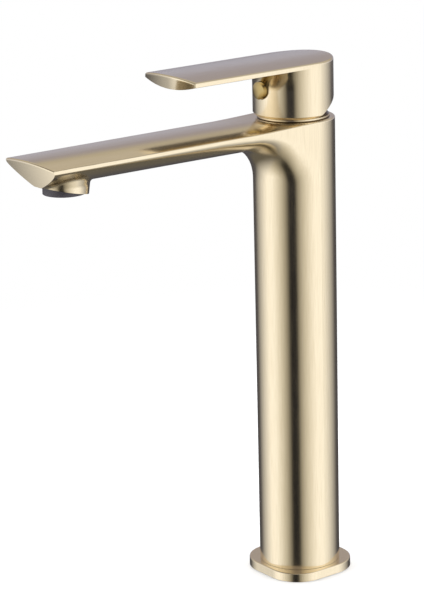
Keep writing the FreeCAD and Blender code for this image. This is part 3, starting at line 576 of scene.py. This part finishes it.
def moulded(name, colour, roughness, grain, depth):
    """Moulded or fired surface with a pebbled skin and a faint cloud of colour."""
    material, tree, shader = new_material(name)
    skin = put(tree, "ShaderNodeGroup", {"Grain": grain}, node_tree=moulded_skin())
    clean = remap(tree, skin.outputs["Cloud"], *CLOUD_SPAN)
    tone = mix_colour(tree, clean, opaque(dulled(colour, CLOUDED_SHARE)), opaque(colour))
    tree.links.new(tone, shader.inputs["Base Color"])
    pebble = skin.outputs["Pebble"]
    soft = remap(tree, pebble, *LINE_SPAN, *(roughness + change for change in PEBBLE_ROUGHNESS))
    tree.links.new(soft, shader.inputs["Roughness"])
    bump = put(tree, "ShaderNodeBump", {"Height": pebble, "Distance": depth, "Strength": 0.5})
    tree.links.new(bump.outputs[0], shader.inputs["Normal"])
    return material


def add_mesh(name, shape, material):
    """Object made of a bmesh, which is freed."""
    mesh = bpy.data.meshes.new(name)
    shape.to_mesh(mesh)
    shape.free()
    mesh.materials.append(material)
    item = bpy.data.objects.new(name, mesh)
    bpy.context.scene.collection.objects.link(item)
    return item


class MIXER_OT_gold(bpy.types.Operator):
    """Finish the casting, column, plate and lever in brushed satin gold"""

    bl_idname = "mixer.gold"
    bl_label = "Satin gold pieces"

    def execute(self, context):
        gold = context.scene.mixer_gold
        dress(GOLD_NODES, satin_metal("satin_gold", gold, gold.colour, gold.shade, drawn_form()))
        return {"FINISHED"}


def belly_outline(half, depth, weight, side):
    """Points (across, away) of a conic belly, from the top of one side to the other's."""
    right = [(half, side * (1 - step / SIDE_STEPS)) for step in range(SIDE_STEPS)]
    for step in range(BELLY_STEPS + 1):
        run = step / BELLY_STEPS
        rim, corner, keel = (1 - run) ** 2, 2 * weight * run * (1 - run), run ** 2
        total = rim + corner + keel
        right.append((half * (rim + corner) / total, -depth * (corner + keel) / total))
    return right + [(-across, away) for across, away in reversed(right[:-1])]


def sweep_rows(settings):
    """Rows of points from the column's front round to the underside of the spout."""
    axis_y = -(settings.half + settings.sweep)
    axis_z = settings.edge_level - settings.belly - settings.sweep
    round_weight = math.sqrt(0.5)

    def row(turn, proud, shift_y=0.0, shift_z=0.0):
        """Outline of the belly at one turn of the sweep."""
        share = 0.5 - 0.5 * math.cos(2 * turn)
        depth = settings.half + (settings.belly - settings.half) * share
        weight = round_weight + (settings.flank - round_weight) * share
        side = settings.side * math.sin(2 * turn) * math.sqrt(max(math.cos(turn), 0.0))
        reach = settings.sweep + depth
        outline = belly_outline(settings.half + proud, depth + proud, weight, side)
        return [Vector((across, shift_y + axis_y + (reach + away) * math.cos(turn),
                        shift_z + axis_z + (reach + away) * math.sin(turn)))
                for across, away in outline]

    quarter = math.pi / 2
    rows = [row(0.0, -settings.sink, shift_z=-settings.lead)]
    rows += [row(quarter * step / SWEEP_ROWS, settings.cover) for step in range(SWEEP_ROWS + 1)]
    rows.append(row(quarter, -settings.sink, shift_y=-settings.lead))
    return rows


def make_neck(settings, material):
    """Skin of the full sweep, facing down and forward, with its ends sunk into the casting."""
    shape = bmesh.new()
    grid = [[shape.verts.new(place) for place in row] for row in sweep_rows(settings)]
    for low, high in zip(grid[:-1], grid[1:]):
        for k in range(len(low) - 1):
            shape.faces.new((low[k], high[k], high[k + 1], low[k + 1]))
    bmesh.ops.remove_doubles(shape, verts=shape.verts, dist=MERGE_DISTANCE)
    bmesh.ops.dissolve_degenerate(shape, edges=shape.edges, dist=MERGE_DISTANCE)
    bmesh.ops.recalc_face_normals(shape, faces=shape.faces)
    keel = min(shape.faces, key=lambda face: face.calc_center_median().y)
    if keel.normal.z > 0:
        bmesh.ops.reverse_faces(shape, faces=shape.faces)
    bmesh.ops.solidify(shape, geom=shape.faces[:], thickness=settings.skin)
    for face in shape.faces:
        face.smooth = True
    for edge in shape.edges:
        edge.smooth = len(edge.link_faces) == 2 and edge.calc_face_angle() < SHARP_ANGLE
    neck = add_mesh("neck_sweep", shape, material)
    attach(neck, "mixer_body")


class MIXER_OT_neck(bpy.types.Operator):
    """Fit the full sweep between the column and the underside of the spout over the casting"""

    bl_idname = "mixer.neck"
    bl_label = "Neck sweep"

    def execute(self, context):
        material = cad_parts["body_casting"].data.materials[0]
        make_neck(context.scene.mixer_neck, material)
        return {"FINISHED"}


class MIXER_OT_button(bpy.types.Operator):
    """Finish the hub's button in gold darkened as painted shade, and the ring under the hub with
    painted gap shade
    """

    bl_idname = "mixer.button"
    bl_label = "Button and ring"

    def execute(self, context):
        gold = context.scene.mixer_gold
        # Painted shade: the button's darker gold stands in for its dark reflection.
        worn = dulled(gold.button, WORN_SHARE)
        button = satin_metal("button_shaded_gold", gold, gold.button, worn, domed_form())
        dress(("index_button",), button)
        dress(("collar_ring",), ring_metal(gold))
        return {"FINISHED"}


class MIXER_OT_brass(bpy.types.Operator):
    """Finish the inlet block, foot and retaining nut in turned brass"""

    bl_idname = "mixer.brass"
    bl_label = "Turned brass pieces"

    def execute(self, context):
        inner = context.scene.mixer_inner
        dress(BRASS_NODES, turned_metal("turned_brass", inner.brass,
                                        roughness=0.28, pitch=0.0003))
        return {"FINISHED"}


class MIXER_OT_rubber(bpy.types.Operator):
    """Finish the gasket, washer and seals in black rubber"""

    bl_idname = "mixer.rubber"
    bl_label = "Rubber seals"

    def execute(self, context):
        inner = context.scene.mixer_inner
        dress(RUBBER_NODES, moulded("seal_rubber", inner.rubber,
                                    roughness=0.62, grain=0.0003, depth=0.00003))
        return {"FINISHED"}


class MIXER_OT_aerator(bpy.types.Operator):
    """Finish the aerator's housing and jet plate in dark plastic"""

    bl_idname = "mixer.aerator"
    bl_label = "Aerator"

    def execute(self, context):
        inner = context.scene.mixer_inner
        dress(AERATOR_NODES, moulded("aerator_plastic", inner.aerator,
                                     roughness=0.36, grain=0.0005, depth=0.00002))
        return {"FINISHED"}


class MIXER_OT_cartridge(bpy.types.Operator):
    """Finish the cartridge's base, shell, rotor and carrier in light plastic"""

    bl_idname = "mixer.cartridge"
    bl_label = "Cartridge plastic"

    def execute(self, context):
        inner = context.scene.mixer_inner
        dress(CARTRIDGE_NODES, moulded("cartridge_plastic", inner.cartridge,
                                       roughness=0.42, grain=0.0006, depth=0.00002))
        return {"FINISHED"}


class MIXER_OT_ceramic(bpy.types.Operator):
    """Finish the two valve discs in lapped ceramic"""

    bl_idname = "mixer.ceramic"
    bl_label = "Ceramic discs"

    def execute(self, context):
        inner = context.scene.mixer_inner
        dress(CERAMIC_NODES, moulded("lapped_ceramic", inner.ceramic,
                                     roughness=0.2, grain=0.0002, depth=0.000005))
        return {"FINISHED"}


class MIXER_OT_steel(bpy.types.Operator):
    """Finish the pin, stem, set screw and screen in stainless steel"""

    bl_idname = "mixer.steel"
    bl_label = "Stainless pieces"

    def execute(self, context):
        inner = context.scene.mixer_inner
        dress(STEEL_NODES, turned_metal("stainless_steel", inner.steel,
                                        roughness=0.3, pitch=0.0002))
        return {"FINISHED"}


def add_stage(name, shape, material):
    """Mesh for the stage, added as a plain mesh."""
    item = add_mesh(name, shape, material)
    return item


def make_floor(settings):
    """Pale floor disc that keeps the shadow and fades out into the white background."""
    material, tree, shader = new_material("pale_floor")
    tree.nodes.remove(shader)
    spot = tree.nodes.new("ShaderNodeTexCoord").outputs["Object"]
    paper = put(tree, "ShaderNodeTexNoise", {"Vector": spot, "Scale": 400.0, "Detail": 2.0})
    pale = settings.floor_colour
    tone = mix_colour(tree, paper.outputs[0], opaque(dulled(pale, FLOOR_FAINT)), opaque(pale))
    matt = put(tree, "ShaderNodeBsdfDiffuse", {"Color": tone})
    clear = tree.nodes.new("ShaderNodeBsdfTransparent")
    away = put(tree, "ShaderNodeVectorMath", {0: spot}, operation="LENGTH").outputs["Value"]
    reach = settings.floor_reach
    fade = remap(tree, away, reach * FLOOR_FADE_SHARE, reach, curve="SMOOTHSTEP")
    send(tree, put(tree, "ShaderNodeMixShader",
                   {0: fade, 1: matt.outputs[0], 2: clear.outputs[0]}))
    shape = bmesh.new()
    bmesh.ops.create_circle(shape, cap_ends=True, segments=FLOOR_EDGES, radius=reach)
    floor = add_stage("floor", shape, material)
    floor.location.z = CAD_BOX[0][2] - FLOOR_DROP
    floor.visible_glossy = False


def make_tent(settings):
    """Light tent seen only in reflections: two soft boxes, a dark gap by the camera and a wall."""
    material, tree, shader = new_material("light_tent")
    tree.nodes.remove(shader)

    def share(part, limits, curve="LINEAR"):
        return remap(tree, part, *limits, curve=curve)

    spot = tree.nodes.new("ShaderNodeTexCoord")
    ahead = put(tree, "ShaderNodeVectorMath", {0: spot.outputs["Object"]}, operation="NORMALIZE")
    turned = put(tree, "ShaderNodeVectorRotate",
                 {"Vector": ahead.outputs[0], "Angle": -settings.camera_turn[0]},
                 rotation_type="Z_AXIS")
    part = put(tree, "ShaderNodeSeparateXYZ", {0: turned.outputs[0]})
    toward = calc(tree, "MULTIPLY", part.outputs[1], -1.0)
    turn = calc(tree, "DEGREES", calc(tree, "ARCTAN2", part.outputs[0], toward))
    aside = calc(tree, "ABSOLUTE", turn)
    lift = calc(tree, "DEGREES", calc(tree, "ARCSINE", part.outputs[2]))

    slanted = calc(tree, "ADD", turn, share(lift, BOX_SLANT))
    left_fall = calc(tree, "POWER", share(slanted, LEFT_END), LEFT_FALL)
    left = product(tree, share(turn, LEFT_START), left_fall,
                   share(lift, LEFT_HEAD, "SMOOTHSTEP"), share(lift, LEFT_FOOT))
    right_rise = calc(tree, "POWER", share(slanted, RIGHT_START), RIGHT_RISE)
    right = product(tree, right_rise, share(turn, RIGHT_END), share(lift, RIGHT_FOOT))
    boxes = product(tree, calc(tree, "MAXIMUM", left, right), share(lift, BOX_HEAD, "SMOOTHSTEP"))

    wall = opaque(WALL_FOOT)
    for limits, curve, colour in WALL_TONES:
        wall = mix_colour(tree, share(lift, limits, curve), wall, opaque(colour))
    wall = mix_colour(tree, share(lift, GROUND_END, "SMOOTHSTEP"), opaque(GROUND_TONE), wall)
    gap = share(aside, GAP_SIDE)
    for limits in (GAP_FOOT, GAP_HEAD):
        gap = calc(tree, "MAXIMUM", gap, share(lift, limits))
    beside = calc(tree, "MAXIMUM", share(aside, SHADE_BACK), share(aside, SHADE_FRONT))
    high = mix_number(tree, share(lift, SHADE_HEIGHT), 1.0, beside)
    shade = put(tree, "ShaderNodeVectorMath", {0: wall, 3: product(tree, gap, high)},
                operation="SCALE")

    warmth = product(tree, share(aside, WARM_SIDE), share(boxes, WARM_EDGE))
    lamp = mix_colour(tree, warmth, opaque(LAMP_WHITE), opaque(LAMP_WARM))
    glow = mix_colour(tree, boxes, shade.outputs[0], lamp)
    send(tree, put(tree, "ShaderNodeEmission", {"Color": glow, "Strength": 1.0}))

    shape = bmesh.new()
    bmesh.ops.create_icosphere(shape, subdivisions=5, radius=settings.tent_reach)
    tent = add_stage("light_tent", shape, material)
    tent.location.z = CAD_BOX[1][2] / 2
    tent.visible_camera = False
    tent.visible_diffuse = False
    tent.visible_shadow = False
    tent.visible_transmission = False
    tent.visible_volume_scatter = False


def make_lamps(settings):
    """Two soft lamps beside the camera and one overhead, for floor, seals and plastics."""
    middle = Vector((0.0, 0.0, CAD_BOX[1][2] / 2))
    for name, (turn, distance, height, share) in LAMPS.items():
        angle = settings.camera_turn[0] + math.radians(turn)
        data = bpy.data.lights.new(name, "AREA")
        data.shape = "DISK"
        data.size = LAMP_SIZE
        data.energy = settings.lamp_power * share
        lamp = bpy.data.objects.new(name, data)
        lamp.location = (distance * math.sin(angle), -distance * math.cos(angle), height)
        lamp.rotation_euler = (middle - lamp.location).to_track_quat("-Z", "Y").to_euler()
        lamp.visible_camera = False
        lamp.visible_glossy = False
        bpy.context.scene.collection.objects.link(lamp)


def make_world():
    """White background for the camera and reflections, and a pale fill for the rest."""
    world = bpy.data.worlds.new("studio")
    world.use_nodes = True
    tree = world.node_tree
    tree.nodes.clear()
    path = tree.nodes.new("ShaderNodeLightPath")
    shown = calc(tree, "MAXIMUM", path.outputs["Is Camera Ray"], path.outputs["Is Glossy Ray"])
    shown = calc(tree, "MAXIMUM", shown, path.outputs["Is Transmission Ray"])
    tone = mix_colour(tree, shown, opaque(FILL_TONE), opaque(BACKDROP_TONE))
    sky = put(tree, "ShaderNodeBackground", {"Color": tone, "Strength": 1.0})
    out = tree.nodes.new("ShaderNodeOutputWorld")
    tree.links.new(sky.outputs[0], out.inputs["Surface"])
    bpy.context.scene.world = world


def make_camera(settings):
    """Camera of the photo, placed and turned by the stage's settings."""
    azimuth, elevation, roll = settings.camera_turn
    flat = math.cos(elevation)
    back = Vector((math.sin(azimuth) * flat, -math.cos(azimuth) * flat, math.sin(elevation)))
    level_right = Vector((math.cos(azimuth), math.sin(azimuth), 0.0))
    level_up = back.cross(level_right)
    right = level_right * math.cos(roll) + level_up * math.sin(roll)
    up = level_up * math.cos(roll) - level_right * math.sin(roll)
    data = bpy.data.cameras.new("photo_camera")
    data.lens = settings.lens
    data.clip_start = 0.05
    data.clip_end = 50.0
    camera = bpy.data.objects.new("photo_camera", data)
    turn = Matrix((right, up, back)).transposed()
    camera.matrix_world = Matrix.Translation(Vector(settings.camera_place)) @ turn.to_4x4()
    bpy.context.scene.collection.objects.link(camera)
    bpy.context.scene.camera = camera


class MIXER_OT_stage(bpy.types.Operator):
    """Set up the camera, the floor, the lamps, the light tent and the white background"""

    bl_idname = "mixer.stage"
    bl_label = "Studio stage"

    def execute(self, context):
        settings = context.scene.mixer_stage
        context.scene.view_settings.view_transform = "Standard"
        make_camera(settings)
        make_floor(settings)
        make_tent(settings)
        make_lamps(settings)
        make_world()
        return {"FINISHED"}


GROUPS = {"mixer_gold": MixerGold, "mixer_neck": MixerNeck, "mixer_inner": MixerInner,
          "mixer_stage": MixerStage}
OPERATORS = (MIXER_OT_gold, MIXER_OT_neck, MIXER_OT_button, MIXER_OT_brass, MIXER_OT_rubber,
             MIXER_OT_aerator, MIXER_OT_cartridge, MIXER_OT_ceramic, MIXER_OT_steel, MIXER_OT_stage)


class MIXER_PT_sidebar(bpy.types.Panel):
    """Sizes, colours and steps of the mixer's finish"""

    bl_idname = "MIXER_PT_sidebar"
    bl_label = "Basin mixer"
    bl_space_type = "VIEW_3D"
    bl_region_type = "UI"
    bl_category = "Mixer"

    def draw(self, context):
        for owner in (getattr(context.scene, name) for name in GROUPS):
            box = self.layout.box()
            for name in owner.__annotations__:
                box.prop(owner, name)
        for operator in OPERATORS:
            self.layout.operator(operator.bl_idname)


def register():
    """Add the settings, operators and panel."""
    for kind in (*GROUPS.values(), *OPERATORS, MIXER_PT_sidebar):
        bpy.utils.register_class(kind)
    for name, kind in GROUPS.items():
        setattr(bpy.types.Scene, name, PointerProperty(type=kind))


def unregister():
    """Take away what register added."""
    for name in GROUPS:
        delattr(bpy.types.Scene, name)
    for kind in (MIXER_PT_sidebar, *reversed(OPERATORS), *GROUPS.values()):
        bpy.utils.unregister_class(kind)


def main():
    """Build the stage and every finish."""
    register()
    bpy.ops.mixer.stage()
    bpy.ops.mixer.gold()
    bpy.ops.mixer.neck()
    bpy.ops.mixer.button()
    bpy.ops.mixer.brass()
    bpy.ops.mixer.rubber()
    bpy.ops.mixer.aerator()
    bpy.ops.mixer.cartridge()
    bpy.ops.mixer.ceramic()
    bpy.ops.mixer.steel()


if __name__ == "__main__":
    main()
